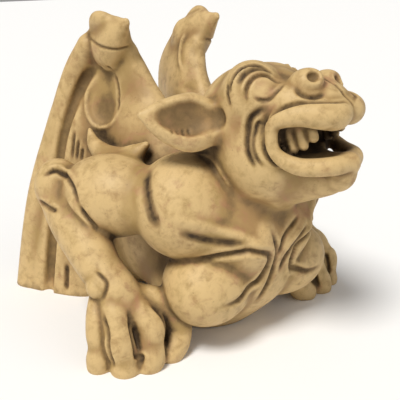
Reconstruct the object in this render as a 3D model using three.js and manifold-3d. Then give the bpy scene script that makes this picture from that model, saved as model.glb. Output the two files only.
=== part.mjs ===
// A cast-stone gargoyle: a crouching winged beast with an open mouth, cast in one piece.
// Millimetres. +Z is up, the beast faces -Y, and its own right side is -X.
// The origin is the centre of the underside of its bounding box.
import * as THREE from 'three';
import { mergeVertices } from 'three/addons/utils/BufferGeometryUtils.js';
import Module from 'manifold-3d';

const wasm = await Module();
wasm.setup();

// ---------------------------------------------------------------- driving dimensions
const headCentre = [2, -72, 175];
const headYaw = 12; // the head is turned to the beast's left, degrees
const headPitch = 18; // and the muzzle is lifted, degrees
const leftHandDrop = 10; // the left hand lies flatter than the right
const softness = 14; // width of the fillet where two masses of clay run together
const roomAround = 400; // larger than the beast, for the ground cut

// x grows by 1 for the form as written and by -1 for the other side
const RIGHT = 1;
const LEFT = -1;

// ---------------------------------------------------------------- fields: distance to a form
// Each field takes a Vector3 and returns its distance, negative inside.
function ballField(centre, radii, turn = [0, 0, 0]) {
  const euler = new THREE.Euler(...turn.map(THREE.MathUtils.degToRad), 'ZYX');
  const back = new THREE.Matrix4().makeRotationFromEuler(euler).transpose();
  const middle = new THREE.Vector3(...centre);
  const scaled = new THREE.Vector3();
  const squared = new THREE.Vector3();
  return (point) => {
    scaled.copy(point).sub(middle).applyMatrix4(back);
    squared.set(scaled.x / radii[0] ** 2, scaled.y / radii[1] ** 2, scaled.z / radii[2] ** 2);
    scaled.set(scaled.x / radii[0], scaled.y / radii[1], scaled.z / radii[2]);
    const reach = scaled.length();
    return (reach * (reach - 1)) / Math.max(squared.length(), 1e-6);
  };
}

// A chain of [x, y, z, radius], straight from one to the next.
function chainField(points) {
  const line = new THREE.Line3();
  const nearest = new THREE.Vector3();
  return (point) => {
    let distance = Infinity;
    for (let i = 1; i < points.length; i++) {
      line.start.set(...points[i - 1].slice(0, 3));
      line.end.set(...points[i].slice(0, 3));
      const t = line.closestPointToPointParameter(point, true);
      const radius = THREE.MathUtils.lerp(points[i - 1][3], points[i][3], t);
      line.at(t, nearest);
      distance = Math.min(distance, nearest.distanceTo(point) - radius);
    }
    return distance;
  };
}

// Fields run together with a soft fillet.
function blended(fields, width = softness) {
  return (point) => fields.map((field) => field(point)).reduce((a, b) => {
    const share = THREE.MathUtils.clamp(0.5 + (0.5 * (b - a)) / width, 0, 1);
    return THREE.MathUtils.lerp(b, a, share) - width * share * (1 - share);
  });
}

// ---------------------------------------------------------------- clay tools
// A closed geometry as a manifold-3d solid.
function solidOf(geometry) {
  const bare = geometry.index ? geometry.toNonIndexed() : geometry.clone();
  bare.deleteAttribute('normal');
  bare.deleteAttribute('uv');
  const merged = mergeVertices(bare, 1e-4);
  const index = merged.index.array;
  const triangles = [];
  for (let i = 0; i < index.length; i += 3) {
    const [a, b, c] = [index[i], index[i + 1], index[i + 2]];
    if (a !== b && b !== c && c !== a) triangles.push(a, b, c);
  }
  return new wasm.Manifold(new wasm.Mesh({
    numProp: 3,
    vertProperties: merged.attributes.position.array,
    triVerts: new Uint32Array(triangles),
  }));
}

// One skin over several masses, seen all round from its centre: a sphere whose points are
// drawn in, each along its own ray, until they lie on the blended field. Its poles lie
// along pole.
function skin(centre, field, { around = 28, rows = 18, reach = 170, pole = [0, 0, 1] } = {}) {
  const geometry = new THREE.SphereGeometry(1, around, rows);
  const turn = new THREE.Quaternion()
    .setFromUnitVectors(new THREE.Vector3(0, 1, 0), new THREE.Vector3(...pole).normalize());
  geometry.applyQuaternion(turn);
  const position = geometry.attributes.position;
  const middle = new THREE.Vector3(...centre);
  const ray = new THREE.Vector3();
  const point = new THREE.Vector3();
  for (let i = 0; i < position.count; i++) {
    ray.fromBufferAttribute(position, i).normalize();
    let distance = reach;
    for (let step = 0; step < 60; step++) {
      const gap = field(point.copy(middle).addScaledVector(ray, distance));
      distance = Math.max(1, distance - gap * 0.8);
      if (Math.abs(gap) < 0.02) break;
    }
    point.copy(middle).addScaledVector(ray, distance);
    position.setXYZ(i, point.x, point.y, point.z);
  }
  return geometry;
}

// An ellipsoid, turned about X, then Y, then Z, in degrees.
function ball(centre, radii, turn = [0, 0, 0], around = 10) {
  const geometry = new THREE.SphereGeometry(1, around, Math.max(5, Math.round(around / 2)));
  geometry.rotateX(Math.PI / 2);
  geometry.scale(...radii);
  const euler = new THREE.Euler(...turn.map(THREE.MathUtils.degToRad), 'ZYX');
  geometry.applyMatrix4(new THREE.Matrix4().makeRotationFromEuler(euler));
  geometry.translate(...centre);
  return geometry;
}

// Limb points laid on a field's surface, sunk into it by part of their radius.
function draped(points, field, sunk = 0.5) {
  const tiny = 0.5;
  const place = new THREE.Vector3();
  const slope = new THREE.Vector3();
  const at = (x, y, z) => field(slope.set(x, y, z));
  return points.map(([x, y, z, radius]) => {
    place.set(x, y, z);
    for (let step = 0; step < 12; step++) {
      const { x: px, y: py, z: pz } = place;
      const gap = at(px, py, pz) + radius * sunk;
      const rise = [at(px + tiny, py, pz) - at(px - tiny, py, pz),
        at(px, py + tiny, pz) - at(px, py - tiny, pz),
        at(px, py, pz + tiny) - at(px, py, pz - tiny)];
      place.addScaledVector(slope.set(...rise).normalize(), -gap * 0.8);
    }
    return [place.x, place.y, place.z, radius];
  });
}

// A limb: a capsule bent along a smooth curve through [x, y, z, radius].
// flat thins the section along up, which turns evenly from its first to its last direction,
// and full squares it towards a slab.
function limb(points, { around = 8, steps = 6, flat = 1, full = 1, up = [[0, 0, 1]], cap = 1 } = {}) {
  const spine = new THREE.CatmullRomCurve3(
    points.map(([x, y, z]) => new THREE.Vector3(x, y, z)), false, 'catmullrom');
  const girth = new THREE.CatmullRomCurve3(
    points.map(([, , , r]) => new THREE.Vector3(r, 0, 0)), false, 'catmullrom');
  const geometry = new THREE.CapsuleGeometry(1, 2, cap, around, steps);
  const position = geometry.attributes.position;
  const firstUp = new THREE.Vector3(...up[0]);
  const lastUp = new THREE.Vector3(...up.at(-1));
  const vertex = new THREE.Vector3();
  for (let i = 0; i < position.count; i++) {
    vertex.fromBufferAttribute(position, i);
    const along = THREE.MathUtils.clamp(vertex.y, -1, 1);
    const t = (along + 1) / 2;
    const radius = girth.getPoint(t).x;
    const tangent = spine.getTangent(t);
    const upward = firstUp.clone().lerp(lastUp, t);
    const side = new THREE.Vector3().crossVectors(tangent, upward).normalize();
    const lift = new THREE.Vector3().crossVectors(side, tangent);
    const point = spine.getPoint(t)
      .addScaledVector(tangent, (vertex.y - along) * radius)
      .addScaledVector(side, vertex.x * radius)
      .addScaledVector(lift, Math.sign(vertex.z) * Math.abs(vertex.z) ** full * radius * flat);
    position.setXYZ(i, point.x, point.y, point.z);
  }
  return geometry;
}

// The same form on the other side of the beast.
function mirrored(geometry) {
  const copy = (geometry.index ? geometry.toNonIndexed() : geometry.clone()).scale(-1, 1, 1);
  const position = copy.attributes.position;
  for (let i = 0; i < position.count; i += 3) {
    const b = new THREE.Vector3().fromBufferAttribute(position, i + 1);
    const c = new THREE.Vector3().fromBufferAttribute(position, i + 2);
    position.setXYZ(i + 1, c.x, c.y, c.z);
    position.setXYZ(i + 2, b.x, b.y, b.z);
  }
  return copy;
}

const bothSides = (forms) => [...forms, ...forms.map(mirrored)];

// ---------------------------------------------------------------- trunk
function trunk() {
  const chest = skin([0, 0, 70], blended([
    ballField([0, -44, 68], [56, 48, 58]), // chest
    ballField([0, -16, 28], [54, 46, 42]), // belly
    ballField([0, 30, 70], [56, 66, 70]), // ribs
    ballField([0, 20, 124], [42, 48, 46]), // back
    ballField([0, 84, 46], [60, 50, 56]), // rump
    chainField([[0, -40, 100, 48], [4, -58, 150, 42]]), // neck
    chainField([[-50, -46, 108, 30], [-20, -78, 88, 20]]), // breast muscles
    chainField([[50, -46, 108, 30], [20, -78, 88, 20]]),
  ]), { around: 24, rows: 17 });
  const breast = ball([-35, -52, 52], [40, 32, 31], [0, 0, 25], 10);
  return [chest, ...bothSides([breast])];
}

// ---------------------------------------------------------------- forelegs, modelled on the right
// drop lowers the wrist and hand.
function foreleg(drop) {
  return [
    skin([-64, -16, 112], blended([
      ballField([-49, -41, 112], [38, 36, 40]), // shoulder
      ballField([-79, 9, 113], [32, 42, 32], [0, 0, 28]), // upper arm
    ]), { around: 14, rows: 11 }),
    ball([-104, 50, 117], [20, 20, 21], [0, 0, 0], 9), // elbow
    // forearm
    limb([[-107, 52, 112, 17], [-112, 26, 94 - drop, 19], [-113 + drop, 0, 78 - drop, 19],
      [-108 + drop, -30 + drop, 56 - drop, 17]],
    { around: 8, steps: 5 }),
    ball([-122 + drop, -28 + drop, 64 - drop], [7, 8, 8], [0, 0, 0], 6), // wrist
    ball([-98, -36, 40 - drop], [25, 18, 22], [0, 0, 0], 8), // hand
  ];
}

function toes(drop) {
  const tube = { around: 6, steps: 3 };
  return [
    limb([[-114, -22, 48 - drop, 9], [-122, -31, 35 - drop / 2, 10], [-124, -37, 4, 10]], tube),
    limb([[-108, -28, 53 - drop, 9], [-112, -42, 40 - drop / 2, 10], [-114, -48, 4, 10.5]], tube),
    limb([[-99, -32, 52 - drop, 9], [-95, -50, 40 - drop / 2, 11], [-99, -55, 4, 11]], tube),
    limb([[-88, -34, 52 - drop, 9], [-71, -50, 43 - drop / 2, 10], [-68, -56, 26, 10], [-77, -57, 4, 10]],
      { ...tube, steps: 4 }),
  ];
}

// ---------------------------------------------------------------- wings, modelled on the right
const bladeTurn = [[-0.87, -0.49, 0], [-0.94, -0.34, 0]];

function wing() {
  return [
    // blade
    limb([[-88, 104, -20, 38], [-77, 97, 40, 41], [-60, 85, 100, 47], [-41, 72, 150, 52],
      [-35, 72, 185, 41], [-38, 66, 212, 27], [-43, 59, 226, 20]],
    { around: 12, steps: 9, flat: 0.32, full: 0.7, up: bladeTurn }),
    // rear band
    limb([[-50, 80, 217, 10], [-54, 97, 190, 12], [-66, 110, 140, 13], [-84, 119, 80, 13],
      [-99, 128, -8, 12]],
      { around: 7, steps: 6 }),
    // root, running into the back
    limb([[-34, 24, 130, 30], [-29, 33, 160, 26], [-29, 42, 186, 16], [-35, 48, 210, 9]],
      { around: 8, steps: 5 }),
    // crescent fold over the shoulder
    limb([[-62, 66, 150, 3], [-59, 56, 137, 7], [-56, 38, 131, 9], [-52, 18, 138, 7], [-48, 6, 146, 3]],
      { around: 6, steps: 5 }),
    // claw cap
    limb([[-42, 62, 220, 20], [-44, 48, 231, 14], [-45, 33, 240, 4]],
      { around: 9, steps: 4, flat: 0.7, up: [[-1, 0, 0]] }),
  ];
}

function wingCuts() {
  return [
    // groove before the rear band
    limb([[-50, 66, 200, 2], [-54, 79, 193, 5], [-63, 88, 171, 5], [-74, 93, 140, 5], [-83, 94, 95, 5],
      [-97, 98, -6, 5]],
    { around: 5, steps: 5 }),
    // scoop
    ball([-53, 56, 176], [12, 14, 20], [0, 0, 15], 8),
  ];
}

// ---------------------------------------------------------------- head, in its own frame
const skull = blended([
  ballField([0, 8, 4], [42, 42, 38]),
  ballField([-20, -2, -20], [26, 28, 34]), // cheeks
  ballField([20, -2, -20], [26, 28, 34]),
  ballField([0, -34, 2], [30, 30, 20]), // muzzle
  ballField([-20, -11, 23], [20, 19, 20]), // brows
  ballField([20, -9, 19], [20, 19, 18]),
  chainField([[0, -20, 18, 12], [0, -40, 12, 10]]), // bridge of the nose
  chainField([[0, -8, -38, 28], [0, -34, -44, 18], [0, -46, -45, 14]]), // jaw
], 7);

// Raised folds round the right eye, draped over the skull: [x, y, z, radius].
const eyeFolds = [
  [[-46, -5, 8, 3], [-44, 2, 22, 5], [-32, -4, 38, 5], [-22, -14, 42, 3]], // brow wrinkle
  [[-42, -11, 12, 2.5], [-38, -17, 28, 3.5], [-27, -29, 34, 3.5], [-20, -36, 24, 2.5]], // upper lid
  [[-42, -11, 12, 2.5], [-38, -23, 11, 3.5], [-29, -32, 14, 3], [-20, -36, 24, 2.5]], // lower lid
];

const onSide = (side, points) => points.map(([x, ...rest]) => [x * side, ...rest]);

function headForms() {
  const fold = { around: 5, steps: 5 };
  const folds = [RIGHT, LEFT].flatMap((side) => eyeFolds.map(
    (points) => limb(draped(onSide(side, points), skull, 0.35), fold)));
  const lip = limb([[3, -61, -1, 8], [17, -58, 1, 8.5], [29, -45, 3, 7.5], [36, -31, -1, 7],
    [37, -25, -13, 6.5], [35, -29, -27, 6.5], [30, -41, -35, 7], [17, -53, -38, 7], [0, -57, -40, 7]],
  { around: 7, steps: 12 });
  return [
    skin([0, -8, -4], skull, { around: 24, rows: 17, pole: [0, -1, 0] }),
    ball([-14, -46, 18], [14, 13, 13]), // nose
    ball([13, -46, 13], [13, 12, 12]),
    ball([-28, -21, 22], [12, 13, 10], [0, 0, 0], 7), // eyeballs
    ball([27, -20, 19], [12, 13, 10], [0, 0, 0], 7),
    ...folds,
    ...bothSides([lip]),
  ];
}

function teeth() {
  const molar = { around: 5, steps: 1 };
  return bothSides([
    limb([[-24, -31, 2, 4], [-24, -32, -22, 3.5]], molar),
    limb([[-22, -38, 2, 4], [-22, -39, -21, 3.5]], molar),
    limb([[-19, -45, 2, 4], [-19, -46, -17, 3.5]], molar),
  ]);
}

function headCuts() {
  return [
    ball([0, -54, -17], [46, 38, 14], [0, 0, 0], 12), // mouth
    ball([-18, -56, 22], [5, 5, 4], [0, 0, 0], 6), // nostrils
    ball([13, -57, 16], [5, 5, 4], [0, 0, 0], 6),
    // furrows behind the lips
    ...bothSides([limb(draped([[-30, -36, 14, 2], [-42, -20, 0, 3.5], [-45, -12, -16, 4],
      [-40, -12, -34, 4], [-30, -22, -52, 2]], skull, 0.2), { around: 5, steps: 4 })]),
  ];
}

const earFace = [[-0.5, -0.86, 0.04]];

function ears() {
  return bothSides([
    limb([[-36, 14, 4, 14], [-50, 24, 9, 22], [-62, 32, 14, 19], [-72, 38, 20, 12], [-80, 42, 24, 3]],
      { around: 9, steps: 6, flat: 0.5, up: earFace }),
  ]);
}

function earCups() {
  return bothSides([
    limb([[-47, 11, 11, 10], [-58, 20, 15, 13], [-70, 29, 20, 9], [-77, 34, 23, 3]],
      { around: 7, steps: 3, flat: 0.6, up: earFace }),
  ]);
}

// ---------------------------------------------------------------- assembly
const union = (forms) => wasm.Manifold.union(forms.map(solidOf));

const headTurn = new THREE.Matrix4()
  .makeTranslation(...headCentre)
  .multiply(new THREE.Matrix4().makeRotationZ(THREE.MathUtils.degToRad(headYaw)))
  .multiply(new THREE.Matrix4().makeRotationX(THREE.MathUtils.degToRad(-headPitch)));

function head() {
  const solid = union([...headForms(), ...ears()])
    .subtract(union([...headCuts(), ...earCups()]))
    .add(union(teeth()));
  return solid.transform(headTurn.elements);
}

function gargoyle() {
  const body = union([
    ...trunk(),
    ...bothSides(wing()),
    ...foreleg(0),
    ...toes(0),
    ...foreleg(leftHandDrop).map(mirrored),
    ...toes(leftHandDrop).map(mirrored),
  ]);
  const carved = body.add(head()).subtract(union(bothSides(wingCuts())));
  const above = new THREE.BoxGeometry(roomAround, roomAround, roomAround)
    .translate(0, 0, roomAround / 2);
  return carved.intersect(solidOf(above));
}

function geometryOf(solid) {
  const mesh = solid.getMesh();
  const geometry = new THREE.BufferGeometry();
  geometry.setAttribute('position', new THREE.BufferAttribute(mesh.vertProperties, 3));
  geometry.setIndex(new THREE.BufferAttribute(mesh.triVerts, 1));
  geometry.computeVertexNormals();
  geometry.computeBoundingBox();
  return geometry;
}

const stone = new THREE.MeshStandardMaterial({ color: 0xc49a63, roughness: 0.75, metalness: 0 });
const group = new THREE.Group();
const statue = new THREE.Mesh(geometryOf(gargoyle()), stone);
const middle = statue.geometry.boundingBox.getCenter(new THREE.Vector3());
statue.position.set(-middle.x, -middle.y, -statue.geometry.boundingBox.min.z);
statue.name = 'gargoyle';
group.add(statue);

export default group;
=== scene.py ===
import math
import bpy
import numpy as np
from mathutils import Matrix, Vector
from mathutils.bvhtree import BVHTree


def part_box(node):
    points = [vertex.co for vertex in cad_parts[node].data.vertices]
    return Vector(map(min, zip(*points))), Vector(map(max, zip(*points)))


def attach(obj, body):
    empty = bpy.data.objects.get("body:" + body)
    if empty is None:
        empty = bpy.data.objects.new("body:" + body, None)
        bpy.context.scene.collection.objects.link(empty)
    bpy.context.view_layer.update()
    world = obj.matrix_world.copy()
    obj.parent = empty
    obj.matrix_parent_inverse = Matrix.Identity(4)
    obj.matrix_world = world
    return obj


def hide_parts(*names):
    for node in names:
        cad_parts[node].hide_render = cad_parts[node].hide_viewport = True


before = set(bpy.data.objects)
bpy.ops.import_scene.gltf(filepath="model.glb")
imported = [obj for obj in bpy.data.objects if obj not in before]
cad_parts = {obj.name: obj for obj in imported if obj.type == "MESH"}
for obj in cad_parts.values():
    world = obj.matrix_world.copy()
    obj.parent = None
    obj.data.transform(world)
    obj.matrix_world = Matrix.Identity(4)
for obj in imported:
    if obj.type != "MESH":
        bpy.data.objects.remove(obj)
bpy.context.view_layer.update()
boxLow, boxHigh = (np.array(corner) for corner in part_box("gargoyle"))
print("stage: frame loaded")

# The forms below are in millimetres. The beast faces -Y, its own right is -X, and it
# stands on z = 0. Operations are done in order, as clay is put on and cut away.
mm = 0.001

head = {"centre": (2, -72, 175), "yaw": 12, "pitch": 18}


def turnOf(degrees):
    x, y, z = (math.radians(value) for value in degrees)
    return np.array((Matrix.Rotation(z, 3, "Z") @ Matrix.Rotation(y, 3, "Y") @ Matrix.Rotation(x, 3, "X")))


def ball(centre, radii, turn=(0, 0, 0)):
    return {"kind": "ball", "centre": np.array(centre, float), "radii": np.array(radii, float),
            "axes": turnOf(turn)}


# points through which a smooth line runs, each x, y, z, radius
def smoothLine(points, perStep=8):
    points = np.array(points, float)
    if len(points) == 2:
        return points
    padded = np.vstack([2 * points[0] - points[1], points, 2 * points[-1] - points[-2]])
    line = []
    for i in range(len(points) - 1):
        a, b, c, d = padded[i:i + 4]
        for t in np.arange(perStep) / perStep:
            line.append(0.5 * (2 * b + (c - a) * t + (2 * a - 5 * b + 4 * c - d) * t ** 2
                               + (3 * b - a - 3 * c + d) * t ** 3))
    line.append(points[-1])
    return np.array(line)


# A round or flattened limb along a smooth line. up is the thin direction, from the first
# end to the last, and square above 2 makes the section fuller towards its corners.
def limb(points, flat=1, up=((0, 0, 1),), square=2, perStep=8):
    line = smoothLine(points, perStep)
    share = np.linspace(0, 1, len(line))[:, None]
    ups = np.array(up[0], float) * (1 - share) + np.array(up[-1], float) * share
    return {"kind": "limb", "line": line[:, :3], "radius": np.maximum(line[:, 3], 0.4), "ups": ups,
            "flat": flat, "square": square}


def mirrored(form):
    flip = np.array((-1.0, 1, 1))
    copy = dict(form)
    if form["kind"] == "ball":
        copy["centre"] = form["centre"] * flip
        copy["axes"] = np.diag(flip) @ form["axes"] @ np.diag(flip)
    else:
        copy["line"] = form["line"] * flip
        copy["ups"] = form["ups"] * flip
    return copy


headTurn = turnOf((-head["pitch"], 0, 0))
headTurn = turnOf((0, 0, head["yaw"])) @ headTurn


def onHead(form):
    copy = dict(form)
    if form["kind"] == "ball":
        copy["centre"] = headTurn @ form["centre"] + head["centre"]
        copy["axes"] = headTurn @ form["axes"]
    else:
        copy["line"] = form["line"] @ headTurn.T + head["centre"]
        copy["ups"] = form["ups"] @ headTurn.T
    return copy


def both(forms):
    return list(forms) + [mirrored(form) for form in forms]


# The body's clay.

trunk = {
    "fillet": 14,
    "masses": [
        ball((0, -44, 68), (56, 48, 58)),       # chest
        ball((0, -16, 28), (54, 46, 42)),       # belly
        ball((0, 30, 70), (56, 66, 70)),        # ribs
        ball((0, 20, 124), (42, 48, 46)),       # back
        ball((0, 84, 46), (60, 50, 56)),        # rump
        limb([(0, -40, 100, 48), (4, -58, 150, 42)]),   # neck
        limb([(-50, -46, 108, 30), (-20, -78, 88, 20)]),  # breast muscles
        limb([(50, -46, 108, 30), (20, -78, 88, 20)]),
    ],
    "breast": ball((-36, -54, 51), (42, 34, 33), (0, 0, 25)),
    "breastFillet": 3,
}

foreleg = {
    "shoulder": ball((-49, -41, 112), (38, 36, 40)),
    "upperArm": ball((-79, 9, 113), (32, 42, 32), (0, 0, 28)),
    "shoulderFillet": 6,
    "armFillet": 10,
    "leftHandDrop": 10,
}

wing = {
    "blade": limb([(-88, 104, -20, 38), (-77, 97, 40, 41), (-60, 85, 100, 47), (-41, 72, 150, 52),
                   (-35, 72, 185, 41), (-38, 66, 212, 27), (-43, 59, 226, 20)],
                  flat=0.32, up=((-0.87, -0.49, 0), (-0.94, -0.34, 0)), square=2.8),
    "rearBand": limb([(-50, 80, 217, 10), (-54, 97, 190, 12), (-66, 110, 140, 13), (-84, 119, 80, 13),
                      (-99, 128, -8, 12)]),
    "root": limb([(-35, 22, 130, 32), (-31, 33, 160, 27), (-31, 42, 186, 17), (-36, 48, 210, 9)], flat=0.55,
                 up=((-0.9, -0.42, 0),)),
    "crescent": limb([(-62, 66, 151, 2), (-63, 58, 141, 6), (-61, 44, 134, 9), (-58, 26, 135, 9),
                      (-54, 12, 142, 7), (-50, 4, 149, 3)]),
    "cap": limb([(-42, 62, 218, 20), (-44, 48, 229, 14), (-45, 33, 238, 4)], flat=0.7, up=((-1, 0, 0),)),
    "groove": limb([(-50, 66, 200, 2), (-54, 79, 193, 5), (-63, 88, 171, 5), (-74, 93, 140, 5),
                    (-83, 94, 95, 5), (-97, 98, -6, 5)]),
    "scoop": ball((-57, 58, 178), (12, 16, 23), (0, 0, 15)),
}


def forelegForms(drop):
    d = drop
    joint = [
        (ball((-103, 48, 118), (18, 18, 20)), 5),       # elbow
        (limb([(-104, 48, 112, 16), (-106, 26, 96 - d, 17.5), (-106 + d, 4, 82 - d, 18),
               (-106 + d, -14 + d, 68 - d, 16), (-102 + d, -28 + d, 56 - d, 15)]), 5),   # forearm
        (ball((-117 + d, -24 + d, 60 - d), (7, 8, 8)), 3),  # wrist knob
        (ball((-98, -32, 42 - d), (21, 15, 18)), 5),    # hand
        (ball((-100, -36, 16), (22, 12, 24 - d / 2)), 3),   # palm
        (ball((-76, -40, 18), (13, 10, 22 - d / 2)), 3),
    ]
    toes = [
        (limb([(-112, -20, 50 - d, 7.5), (-119, -27, 40 - d / 2, 8), (-123, -31, 28, 7.5),
               (-123, -33, 18, 7.5), (-124, -34, 9, 9), (-124, -34, 3, 9)]), 2),
        (limb([(-106, -24, 55 - d, 9.5), (-110, -36, 44 - d, 10), (-112, -43, 31 - d / 2, 9.5),
               (-113, -46, 22, 10.5), (-111, -48, 11, 10), (-111, -49, 3, 11)]), 2),
        (limb([(-98, -28, 52 - d, 9), (-93, -42, 41 - d, 10), (-89, -50, 30 - d / 2, 11),
               (-91, -53, 18, 10), (-93, -56, 8, 11), (-95, -56, 3, 10.5)]), 2),
        (limb([(-88, -33, 48 - d, 9), (-75, -43, 43 - d, 10), (-66, -49, 33 - d, 10.5), (-64, -52, 20, 10),
               (-69, -55, 10, 10.5), (-75, -56, 4, 10)]), 2),
    ]
    return joint + toes


# The head's clay, in the head's own frame.

skull = {
    "fillet": 7,
    "masses": [
        ball((0, 8, 4), (42, 42, 38)),
        ball((-20, -2, -20), (26, 28, 34)),     # cheeks
        ball((20, -2, -20), (26, 28, 34)),
        ball((0, -34, 2), (30, 30, 20)),        # muzzle
        ball((-21, -9, 19), (23, 21, 24)),      # brows
        ball((17, -2, 17), (20, 19, 20)),
        ball((-17, -33, 9), (17, 18, 14)),      # sides of the muzzle
        ball((17, -33, 7), (17, 18, 13)),
        limb([(0, -20, 18, 12), (0, -40, 12, 10)]),  # bridge of the nose
        limb([(0, -8, -38, 28), (0, -34, -44, 18), (0, -46, -45, 14)]),  # jaw
    ],
}

face = {
    "nose": [ball((-14, -46.5, 19.6), (11, 12, 9)), ball((12, -46, 15), (11, 11, 9.5))],
    "eyes": [ball((-25, -19, 19), (13, 12, 11)), ball((25, -18, 16), (13, 12, 11))],
    "lip": limb([(0, -59, -4, 8.5), (10, -60, -6, 10), (20, -56, -4, 9), (29, -45, 0, 7.5),
                 (36, -31, -1, 5.5), (37.5, -26, -10, 4.5), (36, -26, -22, 4.8), (30, -37, -33, 6),
                 (17, -52, -38, 6.5), (0, -57, -40, 7)]),
    "mouth": ball((0, -54, -19), (46, 38, 12)),
    "nostrils": [ball((-18, -56, 22), (5, 5, 4)), ball((13, -57, 16), (5, 5, 4))],
}

teeth = {
    "molars": [limb([(-24, -31, 2, 4), (-24, -32, -22, 3.5)]),
               limb([(-22, -38, 2, 4), (-22, -39, -21, 3.5)]),
               limb([(-19, -45, 2, 4), (-19, -46, -17, 3.5)])],
}

ear = {
    "leaf": limb([(-36, 14, 6, 14), (-50, 24, 11, 20.5), (-62, 32, 16, 17.5), (-72, 38, 21, 11),
                  (-80, 42, 25, 3)],
                 flat=0.5, up=((-0.5, -0.86, 0.04),)),
    "cup": limb([(-47, 11, 11, 10), (-58, 20, 15, 13), (-70, 29, 20, 9), (-77, 34, 23, 3)],
                flat=0.6, up=((-0.5, -0.86, 0.04),)),
}


# every operation in order: add or cut, the form, and the width of its fillet
def modelling():
    steps = [("add", form, trunk["fillet"]) for form in trunk["masses"]]
    steps += [("add", form, trunk["breastFillet"]) for form in both([trunk["breast"]])]
    for name, fillet in (("blade", 6), ("rearBand", 4), ("root", 12), ("crescent", 2), ("cap", 3)):
        steps += [("add", form, fillet) for form in both([wing[name]])]
    for name, fillet in (("groove", 2), ("scoop", 2)):
        steps += [("cut", form, fillet) for form in both([wing[name]])]
    # the arms are laid on the body, and run together among themselves
    upper = [("add", foreleg["shoulder"], foreleg["shoulderFillet"]),
             ("add", foreleg["upperArm"], foreleg["armFillet"])]
    for side, drop in ((1, 0), (-1, foreleg["leftHandDrop"])):
        own = upper + [("add", form, fillet) for form, fillet in forelegForms(drop)]
        if side < 0:
            own = [(kind, mirrored(form), fillet) for kind, form, fillet in own]
        steps += own
    steps += [("add", onHead(form), skull["fillet"]) for form in skull["masses"]]
    steps += [("add", onHead(form), 3) for form in face["nose"]]
    steps += [("add", onHead(form), 1.5) for form in face["eyes"]]
    steps += [("add", onHead(form), 4) for form in both([ear["leaf"]])]
    steps += [("cut", onHead(form), 2) for form in both([ear["cup"]])]
    steps += [("cut", onHead(face["mouth"]), 2)]
    steps += [("add", onHead(form), 3) for form in both([face["lip"]])]
    steps += [("cut", onHead(form), 1.5) for form in face["nostrils"]]
    steps += [("add", onHead(form), 1) for form in both(teeth["molars"])]
    return steps


# Distance to the clay, for settling the surface.

def formBox(form):
    if form["kind"] == "ball":
        reach = np.abs(form["axes"] * form["radii"]).sum(axis=1)
        return form["centre"] - reach, form["centre"] + reach
    radius = form["radius"][:, None]
    return (form["line"] - radius).min(axis=0), (form["line"] + radius).max(axis=0)


def distanceTo(form, points):
    if form["kind"] == "ball":
        q = (points - form["centre"]) @ form["axes"]
        first = np.linalg.norm(q / form["radii"], axis=1)
        second = np.linalg.norm(q / form["radii"] ** 2, axis=1)
        return first * (first - 1) / np.maximum(second, 1e-6)
    line, radius, ups = form["line"], form["radius"], form["ups"]
    j = (np.einsum("ij,ij->i", line, line)[None, :] - 2 * points @ line.T).argmin(axis=1)
    off, at, distance = None, None, None
    for i in (np.maximum(j - 1, 0), np.minimum(j, len(line) - 2)):
        along = line[i + 1] - line[i]
        t = ((points - line[i]) * along).sum(axis=1) / np.maximum((along ** 2).sum(axis=1), 1e-9)
        t = np.clip(t, 0, 1)
        ownOff = points - line[i] - t[:, None] * along
        ownDistance = np.linalg.norm(ownOff, axis=1)
        if distance is None:
            off, at, distance = ownOff, i + t, ownDistance
        else:
            closer = ownDistance < distance
            off = np.where(closer[:, None], ownOff, off)
            at = np.where(closer, i + t, at)
            distance = np.minimum(distance, ownDistance)
    i = np.minimum(at.astype(int), len(line) - 2)
    t = at - i
    r = radius[i] * (1 - t) + radius[i + 1] * t
    if form["flat"] == 1 and form["square"] == 2:
        return distance - r
    tangent = np.gradient(line, axis=0)
    tangent /= np.linalg.norm(tangent, axis=1)[:, None]
    side = np.cross(tangent, ups)
    side /= np.linalg.norm(side, axis=1)[:, None]
    lift = np.cross(side, tangent)
    n = form["square"]
    sizes = np.stack([r, r * form["flat"], r])
    parts = []
    for way in (side, lift, tangent):
        own = way[i] * (1 - t)[:, None] + way[i + 1] * t[:, None]
        parts.append(np.abs((off * own).sum(axis=1)))
    parts = np.stack(parts) / sizes
    size = np.maximum((parts ** n).sum(axis=0) ** (1 / n), 1e-6)
    slope = np.linalg.norm(parts ** (n - 1) / sizes, axis=0) * size ** (1 - n)
    return (size - 1) / np.maximum(slope, 1e-6)


def softMin(a, b, width):
    share = np.clip(0.5 + 0.5 * (b - a) / width, 0, 1)
    return b + (a - b) * share - width * share * (1 - share)


def clayDistance(points, steps, margin=6.0):
    field = np.full(len(points), 50.0)
    for kind, form, fillet in steps:
        low, high = formBox(form)
        room = margin + fillet
        near = np.nonzero(((points > low - room) & (points < high + room)).all(axis=1))[0]
        if len(near) == 0:
            continue
        gap = distanceTo(form, points[near])
        if kind == "add":
            field[near] = softMin(field[near], gap, fillet)
        else:
            field[near] = -softMin(-field[near], gap, fillet)
    return field


def deselectAll():
    if bpy.context.object and bpy.context.object.mode != "OBJECT":
        bpy.ops.object.mode_set(mode="OBJECT")
    bpy.ops.object.select_all(action="DESELECT")


def activate(piece):
    deselectAll()
    piece.select_set(True)
    bpy.context.view_layer.objects.active = piece


def coordsOf(piece):
    coords = np.empty(len(piece.data.vertices) * 3)
    piece.data.vertices.foreach_get("co", coords)
    return coords.reshape(-1, 3) / mm


def normalsOf(piece):
    normals = np.empty(len(piece.data.vertices) * 3)
    piece.data.vertices.foreach_get("normal", normals)
    return normals.reshape(-1, 3)


def placeCoords(piece, coords):
    piece.data.vertices.foreach_set("co", (coords * mm).ravel())
    piece.data.update()


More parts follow.
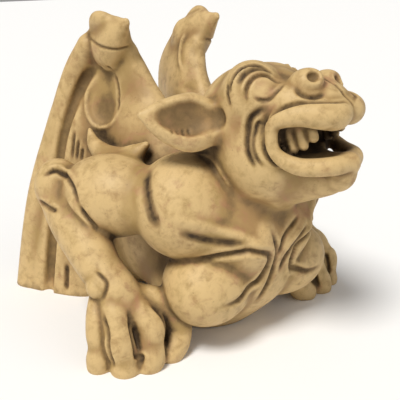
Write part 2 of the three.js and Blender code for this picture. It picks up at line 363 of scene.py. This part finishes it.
def applied(piece, kind, **settings):
    activate(piece)
    bpy.ops.object.modifier_add(type=kind)
    modifier = piece.modifiers[-1]
    for name, value in settings.items():
        setattr(modifier, name, value)
    bpy.ops.object.modifier_apply(modifier=modifier.name)


# one lump of clay: a sphere stretched to a ball, or drawn out and bent along its line
def lump(form):
    deselectAll()
    rings = 12 if form["kind"] == "ball" else 26
    bpy.ops.mesh.primitive_uv_sphere_add(segments=20, ring_count=rings, radius=1)
    piece = bpy.context.object
    coords = coordsOf(piece) * mm
    if form["kind"] == "ball":
        placeCoords(piece, (coords * form["radii"]) @ form["axes"].T + form["centre"])
        return piece
    line, radius, ups = form["line"], form["radius"], form["ups"]
    share = np.arccos(np.clip(coords[:, 2], -1, 1)) / math.pi
    capShare = 0.22
    along = np.clip((share - capShare) / (1 - 2 * capShare), 0, 1)
    cap = np.clip(np.minimum(share, 1 - share) / capShare, 0, 1) * math.pi / 2
    at = along * (len(line) - 1)
    index = np.minimum(at.astype(int), len(line) - 2)
    rest = (at - index)[:, None]
    centre = line[index] * (1 - rest) + line[index + 1] * rest
    size = radius[index] * (1 - rest[:, 0]) + radius[index + 1] * rest[:, 0]
    tangent = line[index + 1] - line[index]
    tangent /= np.linalg.norm(tangent, axis=1)[:, None]
    side = np.cross(tangent, ups[index])
    side /= np.linalg.norm(side, axis=1)[:, None]
    lift = np.cross(side, tangent)
    around = np.arctan2(coords[:, 1], coords[:, 0])
    power = 2 / form["square"]
    across = np.sign(np.cos(around)) * np.abs(np.cos(around)) ** power
    high = np.sign(np.sin(around)) * np.abs(np.sin(around)) ** power * form["flat"]
    beyond = np.where(share < capShare, -1, 1) * np.cos(cap) * np.minimum(form["flat"], 1)
    placed = centre + (tangent * beyond[:, None] + side * (across * np.sin(cap))[:, None]
                       + lift * (high * np.sin(cap))[:, None]) * size[:, None]
    placeCoords(piece, placed)
    return piece


def joined(pieces, name):
    deselectAll()
    for piece in pieces:
        piece.select_set(True)
    bpy.context.view_layer.objects.active = pieces[0]
    if len(pieces) > 1:
        bpy.ops.object.join()
    result = bpy.context.object
    result.name = name
    bpy.ops.object.mode_set(mode="EDIT")
    bpy.ops.mesh.select_all(action="SELECT")
    bpy.ops.mesh.normals_make_consistent(inside=False)
    bpy.ops.object.mode_set(mode="OBJECT")
    return result


# draws every vertex along its normal until it lies on the clay's surface
def settle(piece, steps, rounds=4, reach=3.0):
    for step in range(rounds):
        coords = coordsOf(piece)
        gap = np.clip(clayDistance(coords, steps), -reach, reach)
        placeCoords(piece, coords - normalsOf(piece) * gap[:, None] * 0.85)


sculpt = {
    "roughVoxel": 2.2,
    "cutterVoxel": 1.5,
    "middleVoxel": 1.8,
    "fineVoxel": 1.3,
    "triangles": 190000,
}

steps = modelling()
lastCut = max(i for i, step in enumerate(steps) if step[0] == "cut")
rough = joined([lump(form) for kind, form, fillet in steps[:lastCut] if kind == "add"], "gargoyleClay")
applied(rough, "REMESH", mode="VOXEL", voxel_size=sculpt["roughVoxel"] * mm)
cutters = joined([lump(form) for kind, form, fillet in steps if kind == "cut"], "cutters")
applied(cutters, "REMESH", mode="VOXEL", voxel_size=sculpt["cutterVoxel"] * mm)
applied(rough, "BOOLEAN", object=cutters, operation="DIFFERENCE", solver="EXACT")
bpy.data.objects.remove(cutters)
late = [lump(form) for kind, form, fillet in steps[lastCut:] if kind == "add"]
rough = joined([rough] + late, "gargoyleClay")
print("stage: clay laid", len(rough.data.polygons))

applied(rough, "REMESH", mode="VOXEL", voxel_size=sculpt["middleVoxel"] * mm)
settle(rough, steps, rounds=5)
applied(rough, "SMOOTH", factor=0.5, iterations=2)
applied(rough, "REMESH", mode="VOXEL", voxel_size=sculpt["fineVoxel"] * mm)
settle(rough, steps, rounds=3)
applied(rough, "SMOOTH", factor=0.5, iterations=3)
print("stage: clay settled", len(rough.data.polygons))

# Strokes are a kind, a width, a depth and the points they run through. They are pressed
# into the clay or raised on it.

# the planes that arcs are drawn in: the side of the face, the side of the chest, the wing
facePlane = (np.array((0.62, -0.75, -0.24)), np.array((0.27, -0.09, 0.96)))
chestPlane = (np.array((0.77, -0.64, 0)), np.array((0.22, 0.26, 0.94)))
wingPlane = (np.array((0, -1, 0)), np.array((0, 0, 1)))


def arc(centre, radii, start, stop, plane):
    turns = np.radians(np.linspace(start, stop, 7))
    across, up = plane[0] * radii[0], plane[1] * radii[1]
    return [tuple(np.array(centre) + across * math.cos(turn) + up * math.sin(turn))
            for turn in turns]


# kind, width, depth, then the offset of the centre across and up, the radius and the two angles
eyeFolds = {
    "centre": (-32, -26.5, 23),
    "rings": [
        ("groove", 1.4, 2.6, (2, -5), 14, 200, 55),     # over the upper lid
        ("ridge", 1.2, 1.0, (2, -5), 16, 190, 60),
        ("groove", 1.2, 1.4, (0, 5.6), 14.4, 240, 335),     # under the lower lid
        ("groove", 2.2, 1.4, (0, -3), 18, 165, 55),
        ("ridge", 1.8, 1.2, (-3, -3), 20, 185, 55),
        ("groove", 1.4, 2.0, (-4, -3), 23, 190, 55),
        ("ridge", 1.8, 1.2, (-4, -3), 26, 200, 70),
        ("groove", 1.5, 1.6, (-4, -3), 29, 205, 160),
    ],
}

cheekFolds = {
    "centre": (-33, -33, -16),
    "furrows": [     # kind, width, depth, radius and the two angles
        ("groove", 2.4, 2.6, 27, 120, 222),
        ("groove", 1.5, 1.4, 22, 128, 230),
        ("ridge", 2, 1, 24.5, 125, 226),
    ],
}


# strokes on the near half of the head, in the head's own frame
def headStrokes():
    strokes = []
    for kind, width, depth, offset, radius, start, stop in eyeFolds["rings"]:
        centre = np.array(eyeFolds["centre"]) + facePlane[0] * offset[0] + facePlane[1] * offset[1]
        strokes.append((kind, width, depth, arc(centre, (radius, radius), start, stop, facePlane)))
    for kind, width, depth, radius, start, stop in cheekFolds["furrows"]:
        points = arc(cheekFolds["centre"], (radius, radius), start, stop, facePlane)
        strokes.append((kind, width, depth, points))
    underNose = arc((-20, -54, 19), (11, 10), 200, 330, facePlane)
    strokes.append(("groove", 1.6, 2.0, underNose))
    # round the lips, a radius out from their middle line
    line, radius = face["lip"]["line"] * (-1, 1, 1), face["lip"]["radius"]
    away = line - (-25, -45, -18)
    away /= np.linalg.norm(away, axis=1)[:, None]
    edge = line + away * radius[:, None]
    strokes.append(("groove", 1.4, 2.0, [tuple(point) for point in edge[8::6]]))
    return strokes


# strokes on the near half of the body
def bodyStrokes():
    strokes = [
        ("groove", 2.4, 3.4, arc((-38, -86, 68), (33, 22), 150, -110, chestPlane)),     # round the breast
        # the shoulder's lower edge
        ("ridge", 3.5, 1.6, [(-79, -62, 118), (-56, -78, 108), (-33, -92, 97), (-19, -98, 85)]),
        ("groove", 3.5, 1.2, [(-76, -67, 106), (-54, -79, 97), (-34, -92, 94)]),
        ("groove", 5, 1.6, [(-68, -28, 143), (-84, -45, 125), (-83, -56, 106)]),        # shoulder and upper arm
        ("groove", 2, 1.8, [(-118, 44, 128), (-108, 35, 132), (-110, 14, 127), (-111, 3, 115)]),    # elbow
        ("ridge", 2.2, 1.5, [(-116, 45, 132), (-105, 37, 134), (-107, 12, 131)]),
        ("groove", 1.8, 2.2, [(-121, 48, 108), (-121, 32, 107), (-119, 22, 106)]),
        ("groove", 1.8, 1.6, [(-111, 3, 115), (-106, -5, 102), (-103, -8, 96)]),
        ("ridge", 2.2, 1.4, [(-113, 16, 118), (-111, 4, 108), (-104, -7, 98)]),
        ("groove", 1.4, 1.2, [(-117, -24, 74), (-113, -33, 66), (-117, -33, 54)]),      # wrist knob
        ("ridge", 1.4, 1.2, [(-40, -46, 151), (-38, -60, 150), (-37, -72, 139), (-35, -76, 132)]),  # neck
        ("groove", 1.1, 1.2, [(-54, 74, 225), (-55, 53, 219), (-46, 40, 218), (-38, 39, 220)]),     # cap
        ("ridge", 1.5, 1.4, arc((-57, 62, 178), (18, 25), 150, 340, wingPlane)),        # rim of the scoop
        ("groove", 1.2, 1.2, arc((-57, 62, 178), (16, 22), -20, 60, wingPlane)),
        ("groove", 2, 2.4, [(-84, 81, 30), (-87, 81, 5)]),
        ("ridge", 1.6, 1.6, [(-30, 56, 224), (-27, 57, 214), (-21, 52, 204), (-16, 42, 193)]),
    ]
    for step in range(3):       # pleats under the scoop
        pleat = [(-67, 83 - 5 * step, 147 - 6 * step), (-71, 82 - 5 * step, 125)]
        strokes.append(("groove", 1.3, 1.5, pleat))
    for step in range(4):       # hair in the ear
        hair = [(-70 + 4 * step, -54 - step, 175), (-72 + 4 * step, -58 - step, 172)]
        strokes.append(("groove", 0.8, 0.6, hair))
    # between neighbouring toes, halfway between their middle lines
    toes = [form for form, fillet in forelegForms(0)[-4:]]
    for first, second in zip(toes, toes[1:]):
        shared = min(len(first["line"]), len(second["line"]))
        between = (first["line"][:shared] + second["line"][:shared]) / 2 + (-3, -8, 0)
        strokes.append(("groove", 1.8, 2.4, [tuple(point) for point in between[6::7]]))
    return strokes


def placedOnHead(points):
    return [tuple(headTurn @ np.array(point) + head["centre"]) for point in points]


def mirroredPoints(points):
    return [(-x, y, z) for x, y, z in points]


allStrokes = []
for kind, width, depth, points in headStrokes():
    allStrokes.append((kind, width, depth, placedOnHead(points)))
    allStrokes.append((kind, width, depth, placedOnHead(mirroredPoints(points))))
for kind, width, depth, points in bodyStrokes():
    allStrokes.append((kind, width, depth, points))
    allStrokes.append((kind, width, depth, mirroredPoints(points)))
allStrokes += [
    ("groove", 2.2, 2.6, [(-12, -96, 98), (-6, -95, 78), (-7, -91, 58), (-13, -83, 37)]),
    ("groove", 1.2, 1.3, placedOnHead([(0, -52, 22), (0, -60, 8), (0, -68, -4)])),      # nose to lip
    ("groove", 1.6, 2, [(17, -94, 103), (1, -95, 90), (-3, -94, 75)]),      # throat
    ("groove", 1.8, 2, [(22, -97, 95), (9, -96, 80), (2, -92, 62)]),
    ("ridge", 2.6, 1.4, [(26, -94, 99), (7, -96, 86), (4, -95, 78)]),
]


# a stroke's points laid on the surface, with its direction out of the clay at each
def laidOn(tree, points):
    dense = smoothLine([point + (1,) for point in points], 8)[:, :3] if len(points) > 2 else np.array(
        [np.array(points[0]) * (1 - t) + np.array(points[-1]) * t for t in np.linspace(0, 1, 6)])
    spots, ways = [], []
    for point in dense:
        spot, way, index, distance = tree.find_nearest(Vector(point))
        spots.append(spot)
        ways.append(way)
    return np.array(spots), np.array(ways)


# how strongly each vertex near a stroke is touched, from 0 to 1
def touched(coords, normals, spots, ways, width, kind):
    reach = width * 2.6
    low, high = spots.min(axis=0) - reach, spots.max(axis=0) + reach
    near = np.nonzero(((coords > low) & (coords < high)).all(axis=1))[0]
    if len(near) == 0:
        return near, np.zeros(0), np.zeros(0)
    points = coords[near]
    best = np.full(len(near), 1e9)
    at = np.zeros(len(near))
    for i in range(len(spots) - 1):
        along = spots[i + 1] - spots[i]
        t = np.clip(((points - spots[i]) @ along) / max(along @ along, 1e-9), 0, 1)
        gap = np.linalg.norm(points - spots[i] - t[:, None] * along, axis=1)
        closer = gap < best
        best = np.where(closer, gap, best)
        at = np.where(closer, i + t, at)
    total = len(spots) - 1
    taper = 1.0 if kind == "dent" else np.clip(np.minimum(at, total - at) / (0.22 * total) + 0.12, 0, 1)
    facing = (normals[near] * ways[np.clip(np.round(at).astype(int), 0, total)]).sum(axis=1) > 0.1
    strength = np.exp(-(best / width) ** 2) * taper * facing
    rim = np.exp(-((best - 1.9 * width) / (0.8 * width)) ** 2) * taper * facing
    return near, strength, rim


def press(piece, tree, strokes):
    coords, normals = coordsOf(piece), normalsOf(piece)
    move = np.zeros(len(coords))
    for kind, width, depth, points in strokes:
        spots, ways = laidOn(tree, points)
        near, strength, rim = touched(coords, normals, spots, ways, width, kind)
        if kind == "ridge":
            move[near] += depth * strength
        else:
            move[near] += -depth * strength + 0.18 * depth * rim
    placeCoords(piece, coords + normals * move[:, None])


def treeOf(piece):
    coords = coordsOf(piece)
    faces = [tuple(face.vertices) for face in piece.data.polygons]
    return BVHTree.FromPolygons([Vector(point) for point in coords], faces)


clayTree = treeOf(rough)
press(rough, clayTree, allStrokes)
applied(rough, "SMOOTH", factor=0.35, iterations=1)
print("stage: strokes pressed")

# the ground cut
activate(rough)
bpy.ops.object.mode_set(mode="EDIT")
bpy.ops.mesh.select_all(action="SELECT")
bpy.ops.mesh.bisect(plane_co=(0, 0, 0), plane_no=(0, 0, 1), use_fill=True, clear_inner=True)
bpy.ops.object.mode_set(mode="OBJECT")

# fitted to the solid's own box
coords = coordsOf(rough)
low, high = coords.min(axis=0), coords.max(axis=0)
fit = (boxHigh - boxLow) / mm / (high - low)
print("stage: fitted", np.round(low, 1), np.round(high, 1), "by", np.round(fit, 4))
placeCoords(rough, (coords - low) * fit + boxLow / mm)

applied(rough, "TRIANGULATE")
faces = len(rough.data.polygons)
if faces > sculpt["triangles"]:
    applied(rough, "DECIMATE", ratio=sculpt["triangles"] / faces)
activate(rough)
bpy.ops.object.shade_smooth()
rough.name = "gargoyleStone"
gargoyle = rough

# Brown wash is left in the recesses, with painted shade darkening them the more shut in they are, and the high
# places are rubbed to cream.

patinaAndShade = {
    "rays": 14,             # per vertex, for how shut in a place is
    "farthest": 70,         # mm, how far a ray looks for other stone
    "strokeWashAndShade": 0.9,
    "openShare": 0.22,      # a place less shut in than this takes no wash and no painted shade
}


def neighbourMean(values, edges, count):
    total = np.zeros_like(values)
    np.add.at(total, edges[:, 0], values[edges[:, 1]])
    np.add.at(total, edges[:, 1], values[edges[:, 0]])
    return total / np.maximum(count, 1)[:, None]


def smoothed(values, edges, count, rounds):
    values = values.copy()
    for step in range(rounds):
        values = 0.5 * values + 0.5 * neighbourMean(values, edges, count)
    return values


# how shut in each place is, found by rays cast out from it; it darkens the colour there as painted shade
def shutIn(coords, normals, tree):
    rng = np.random.default_rng(7)
    picked = []
    for i in range(patinaAndShade["rays"]):
        height = math.sqrt((i + 0.5) / patinaAndShade["rays"])
        turn = i * 2.399963
        flat = math.sqrt(1 - height * height)
        picked.append((flat * math.cos(turn), flat * math.sin(turn), height))
    picked = np.array(picked)
    spin = rng.random(len(coords)) * 2 * math.pi
    helper = np.where(np.abs(normals[:, 2:3]) < 0.9, np.array([[0, 0, 1.0]]), np.array([[1.0, 0, 0]]))
    first = np.cross(helper, normals)
    first /= np.linalg.norm(first, axis=1)[:, None]
    second = np.cross(normals, first)
    across = first * np.cos(spin)[:, None] + second * np.sin(spin)[:, None]
    along = np.cross(normals, across)
    starts = coords + normals * 0.4
    result = np.zeros(len(coords))
    for x, y, z in picked:
        ways = across * x + along * y + normals * z
        hits = np.zeros(len(coords))
        for index, (start, way) in enumerate(zip(starts.tolist(), ways.tolist())):
            distance = tree.ray_cast(start, way, patinaAndShade["farthest"])[3]
            if distance is not None:
                hits[index] = 1 - distance / patinaAndShade["farthest"] * 0.6
        result += hits
    return result / len(picked)


def writeMask(piece, name, values):
    attribute = piece.data.attributes.new(name, "FLOAT", "POINT")
    attribute.data.foreach_set("value", np.clip(values, 0, 1).astype(np.float32))


coords, normals = coordsOf(gargoyle), normalsOf(gargoyle)
edges = np.empty(len(gargoyle.data.edges) * 2, dtype=np.int64)
gargoyle.data.edges.foreach_get("vertices", edges)
edges = edges.reshape(-1, 2)
count = np.bincount(edges.ravel(), minlength=len(coords)).astype(float)
fine = ((smoothed(coords, edges, count, 3) - coords) * normals).sum(axis=1)
broad = ((smoothed(coords, edges, count, 24) - coords) * normals).sum(axis=1)
shut = smoothed(shutIn(coords, normals, treeOf(gargoyle))[:, None], edges, count, 2)[:, 0]
pressed = np.zeros(len(coords))
clayCoords = (coords - boxLow / mm) / fit + low
for kind, width, depth, points in allStrokes:
    if kind != "ridge":
        spots, ways = laidOn(clayTree, points)
        near, strength, rim = touched(clayCoords, normals, spots, ways, width, kind)
        pressed[near] = np.maximum(pressed[near], strength * min(1, 0.35 + depth / 2.5))
print("stage: masks", np.percentile(fine, (2, 50, 98)).round(3), np.percentile(broad, (2, 50, 98)).round(3),
      np.percentile(shut, (2, 50, 90, 98)).round(3))
hollow = np.clip(fine / 0.10, 0, 1) * 0.35 + np.clip(broad / 0.55, 0, 1) * 0.45
# brown wash together with painted shade: darker the more shut in a place is, the more hollow it is, and along
# pressed grooves
washAndShade = np.clip((shut - patinaAndShade["openShare"]) / 0.55, 0, 1) ** 1.2 + hollow * 0.8 + pressed * patinaAndShade["strokeWashAndShade"]
worn = np.clip(-fine / 0.09, 0, 1) * 0.5 + np.clip(-broad / 0.6, 0, 1) * 0.8 - washAndShade * 0.5
writeMask(gargoyle, "washAndShade", smoothed(np.clip(washAndShade, 0, 1.3)[:, None], edges, count, 1)[:, 0])
writeMask(gargoyle, "worn", smoothed(worn[:, None], edges, count, 2)[:, 0])
print("stage: patina laid")


castStone = {
    "tan": (0.34, 0.205, 0.08),
    "ochre": (0.38, 0.25, 0.09),
    "pink": (0.38, 0.19, 0.095),
    "cream": (0.6, 0.42, 0.19),
    "wash": (0.17, 0.105, 0.04),
    # near-black for the deepest recesses: dark paint together with painted shade
    "darkPaintAndShade": (0.028, 0.014, 0.005),
    "roughness": 0.55,
}


def newMaterial(name):
    material = bpy.data.materials.new(name)
    material.use_nodes = True
    return material, material.node_tree.nodes, material.node_tree.links


def addNode(nodes, kind, place, **settings):
    node = nodes.new(kind)
    node.location = place
    for name, value in settings.items():
        setattr(node, name, value)
    return node


def noiseNode(nodes, links, coordinates, place, scale, detail=4, roughness=0.55, distortion=0):
    node = addNode(nodes, "ShaderNodeTexNoise", place)
    node.inputs["Scale"].default_value = scale
    node.inputs["Detail"].default_value = detail
    node.inputs["Roughness"].default_value = roughness
    node.inputs["Distortion"].default_value = distortion
    links.new(coordinates, node.inputs["Vector"])
    return node


def rampNode(nodes, links, source, place, low, high, top=1.0):
    node = addNode(nodes, "ShaderNodeMapRange", place, interpolation_type="SMOOTHSTEP")
    node.inputs["From Min"].default_value = low
    node.inputs["From Max"].default_value = high
    node.inputs["To Max"].default_value = top
    links.new(source, node.inputs["Value"])
    return node.outputs["Result"]


def mixNode(nodes, links, factor, first, second, place):
    node = addNode(nodes, "ShaderNodeMix", place, data_type="RGBA", blend_type="MIX")
    for socket, value in ((node.inputs[0], factor), (node.inputs[6], first), (node.inputs[7], second)):
        if isinstance(value, bpy.types.NodeSocket):
            links.new(value, socket)
        else:
            socket.default_value = value
    return node.outputs[2]


def mathNode(nodes, links, operation, first, second, place):
    node = addNode(nodes, "ShaderNodeMath", place, operation=operation)
    for socket, value in zip(node.inputs, (first, second)):
        if isinstance(value, bpy.types.NodeSocket):
            links.new(value, socket)
        else:
            socket.default_value = value
    return node.outputs[0]


def makeCastStone():
    material, nodes, links = newMaterial("castStone")
    shader = nodes["Principled BSDF"]
    where = addNode(nodes, "ShaderNodeTexCoord", (-1800, 0)).outputs["Object"]
    # masks read from the mesh: brown wash with painted shade in the hollows, and rubbed high places
    washAndShadeMask = addNode(nodes, "ShaderNodeAttribute", (-1800, -300), attribute_name="washAndShade").outputs["Fac"]
    wornMask = addNode(nodes, "ShaderNodeAttribute", (-1800, -500), attribute_name="worn").outputs["Fac"]
    clouds = noiseNode(nodes, links, where, (-1500, 300), 26, 5, 0.6, 0.4)
    patches = noiseNode(nodes, links, where, (-1500, 50), 44, 4, 0.6, 0.8)
    blotches = noiseNode(nodes, links, where, (-1500, -200), 120, 5, 0.65, 0.3)
    grain = noiseNode(nodes, links, where, (-1500, -450), 900, 3, 0.6)
    pits = noiseNode(nodes, links, where, (-1500, -700), 420, 3, 0.7)

    def colour(name):
        return castStone[name] + (1,)

    base = mixNode(nodes, links, rampNode(nodes, links, clouds.outputs["Fac"], (-1250, 300), 0.38, 0.62),
                   colour("tan"), colour("ochre"), (-1000, 300))
    pinkShare = rampNode(nodes, links, patches.outputs["Fac"], (-1250, 50), 0.52, 0.68, 0.75)
    base = mixNode(nodes, links, pinkShare, base, colour("pink"), (-800, 250))
    # rubbed high places
    wornBreak = rampNode(nodes, links, blotches.outputs["Fac"], (-1250, -500), 0.2, 0.6)
    wornShare = mathNode(nodes, links, "MULTIPLY", wornMask, wornBreak, (-1000, -500))
    base = mixNode(nodes, links, wornShare, base, colour("cream"), (-600, 200))
    # a light wash everywhere, broken by blotches, heavier with painted shade the more shut in a place is, and
    # near-black dark paint with painted shade in the deepest recesses
    broken = mathNode(nodes, links, "MULTIPLY_ADD", blotches.outputs["Fac"], 0.9, (-1000, -200))
    broken.node.inputs[2].default_value = -0.45
    washAndShadeShare = mathNode(nodes, links, "ADD", washAndShadeMask, broken, (-800, -150))
    washAndShadeLayer = rampNode(nodes, links, washAndShadeShare, (-600, -100), 0.08, 0.75, 0.88)
    base = mixNode(nodes, links, washAndShadeLayer, base, colour("wash"), (-400, 150))
    darkPaintAndShadeLayer = rampNode(nodes, links, washAndShadeShare, (-600, -350), 0.62, 1.15, 0.92)
    base = mixNode(nodes, links, darkPaintAndShadeLayer, base, colour("darkPaintAndShade"), (-200, 100))
    speck = rampNode(nodes, links, pits.outputs["Fac"], (-600, -600), 0.64, 0.74, 0.45)
    base = mixNode(nodes, links, speck, base, colour("wash"), (0, 50))
    links.new(base, shader.inputs["Base Color"])
    gloss = rampNode(nodes, links, clouds.outputs["Fac"], (-400, -500), 0.3, 0.7, 0.16)
    gloss = mathNode(nodes, links, "ADD", gloss, castStone["roughness"] - 0.05, (-200, -500))
    dull = mathNode(nodes, links, "MULTIPLY", washAndShadeMask, 0.25, (-400, -700))
    gloss = mathNode(nodes, links, "ADD", gloss, dull, (0, -500))
    links.new(gloss, shader.inputs["Roughness"])
    relief = mathNode(nodes, links, "MULTIPLY_ADD", grain.outputs["Fac"], 0.35, (-400, -900))
    links.new(pits.outputs["Fac"], relief.node.inputs[2])
    bump = addNode(nodes, "ShaderNodeBump", (0, -800))
    bump.inputs["Strength"].default_value = 0.25
    bump.inputs["Distance"].default_value = 0.0006
    links.new(relief, bump.inputs["Height"])
    links.new(bump.outputs["Normal"], shader.inputs["Normal"])
    shader.inputs["Specular IOR Level"].default_value = 0.4
    return material


stone = makeCastStone()
gargoyle.data.materials.clear()
gargoyle.data.materials.append(stone)

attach(gargoyle, "root")
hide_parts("gargoyle")

# Floor, light and camera.
size = boxHigh - boxLow

deselectAll()
bpy.ops.mesh.primitive_plane_add(size=30 * size[1], location=(0, 0, boxLow[2]))
floor = bpy.context.object
floor.name = "floor"
paper = bpy.data.materials.new("paleFloor")
paper.use_nodes = True
paper.node_tree.nodes["Principled BSDF"].inputs["Base Color"].default_value = (0.9, 0.9, 0.9, 1)
paper.node_tree.nodes["Principled BSDF"].inputs["Roughness"].default_value = 0.9
floor.data.materials.append(paper)

studio = {
    "azimuth": -40,
    "elevation": 20,
    "distance": 1.942 * size[1],
    "lens": 59.4,
    "sensor": 36,
    "target": Vector((0, boxLow[1] + 0.508 * size[1], 0.38 * size[2])),
}


lights = {      # azimuth, elevation, strength, softness in degrees, colour
    "keyLight": (-70, 58, 2.9, 20, (1.0, 0.98, 0.94)),
    "fillLight": (20, 30, 0.3, 60, (1, 1, 1)),
}
skyStrength = 0.32


def direction(azimuth, elevation):
    a, e = math.radians(azimuth), math.radians(elevation)
    return Vector((math.sin(a) * math.cos(e), -math.cos(a) * math.cos(e), math.sin(e)))


back = direction(studio["azimuth"], studio["elevation"])
bpy.ops.object.camera_add(location=studio["target"] + back * studio["distance"])
camera = bpy.context.object
camera.rotation_euler = (-back).to_track_quat("-Z", "Y").to_euler()
camera.data.lens = studio["lens"]
camera.data.sensor_width = studio["sensor"]
bpy.context.scene.camera = camera


def sunLight(name, azimuth, elevation, strength, softness, colour):
    way = direction(azimuth, elevation)
    bpy.ops.object.light_add(type="SUN", location=way)
    light = bpy.context.object
    light.name = name
    light.rotation_euler = (-way).to_track_quat("-Z", "Y").to_euler()
    light.data.energy = strength
    light.data.angle = math.radians(softness)
    light.data.color = colour


for name, values in lights.items():
    sunLight(name, *values)
world = bpy.data.worlds.new("studio")
bpy.context.scene.world = world
world.use_nodes = True
world.node_tree.nodes["Background"].inputs["Color"].default_value = (1, 1, 1, 1)
world.node_tree.nodes["Background"].inputs["Strength"].default_value = skyStrength
bpy.context.scene.view_settings.view_transform = "Standard"

print("stage: done")
